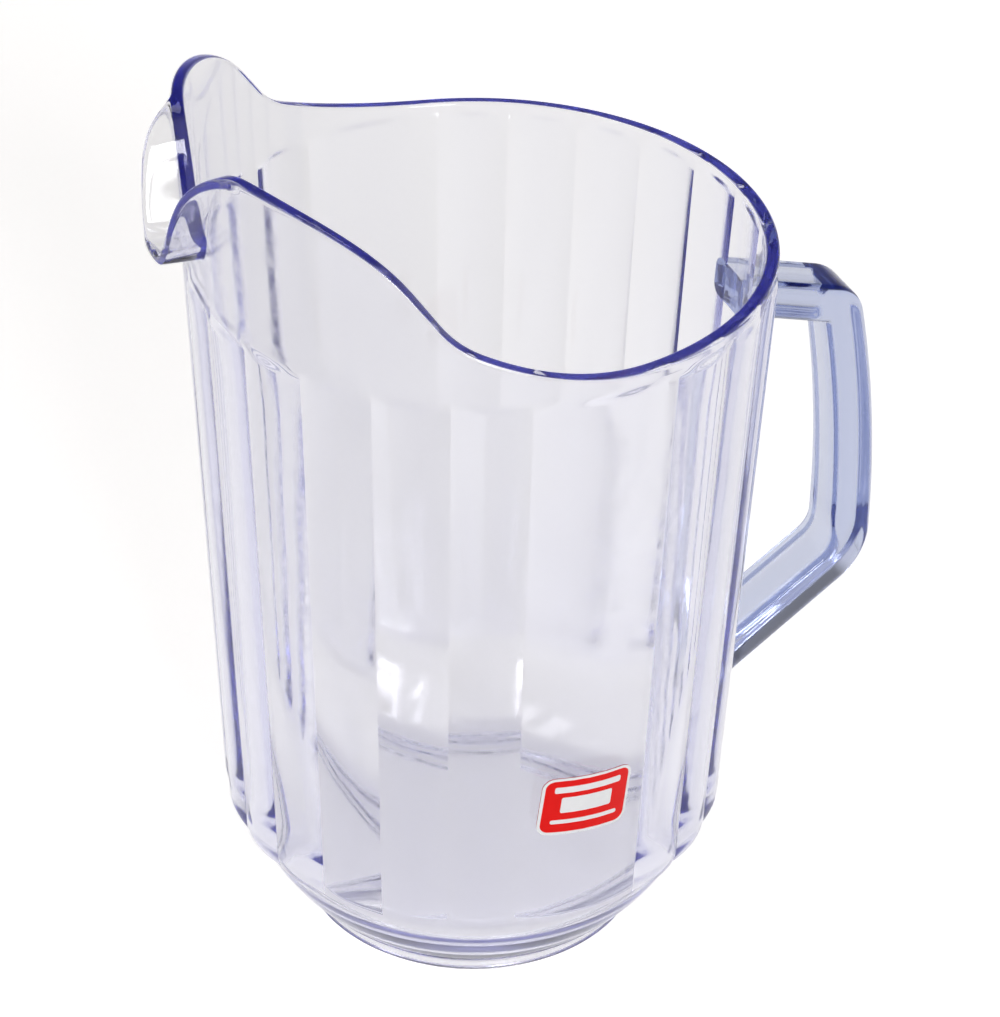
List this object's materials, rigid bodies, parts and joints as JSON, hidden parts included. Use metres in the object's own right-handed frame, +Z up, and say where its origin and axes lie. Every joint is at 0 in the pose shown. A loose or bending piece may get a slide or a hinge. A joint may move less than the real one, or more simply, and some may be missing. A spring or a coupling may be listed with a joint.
{
  "type": "beer pitcher",
  "caption": "Clear plastic beer pitcher with a fluted tapered barrel, a winged pouring spout, a smooth base and a strap handle, for holding and pouring drinks.",
  "frame": {"origin": "middle of the foot, on the surface that the pitcher stands on", "axes": "+Z up along the barrel axis, +X towards the handle, -X towards the lip, +Y completes the right-handed set"},
  "size_m": [0.1828, 0.1356, 0.2211],
  "materials": {
    "clear_plastic": "clear, gloss, with a blue tint at the edges",
    "handle_plastic": "clear, gloss, with a blue tint",
    "label_vinyl": "printed gloss vinyl"
  },
  "bodies": {
    "root": {"barrel": "clear_plastic", "base": "clear_plastic", "handle": "handle_plastic", "label": "label_vinyl"}
  },
  "joints": []
}
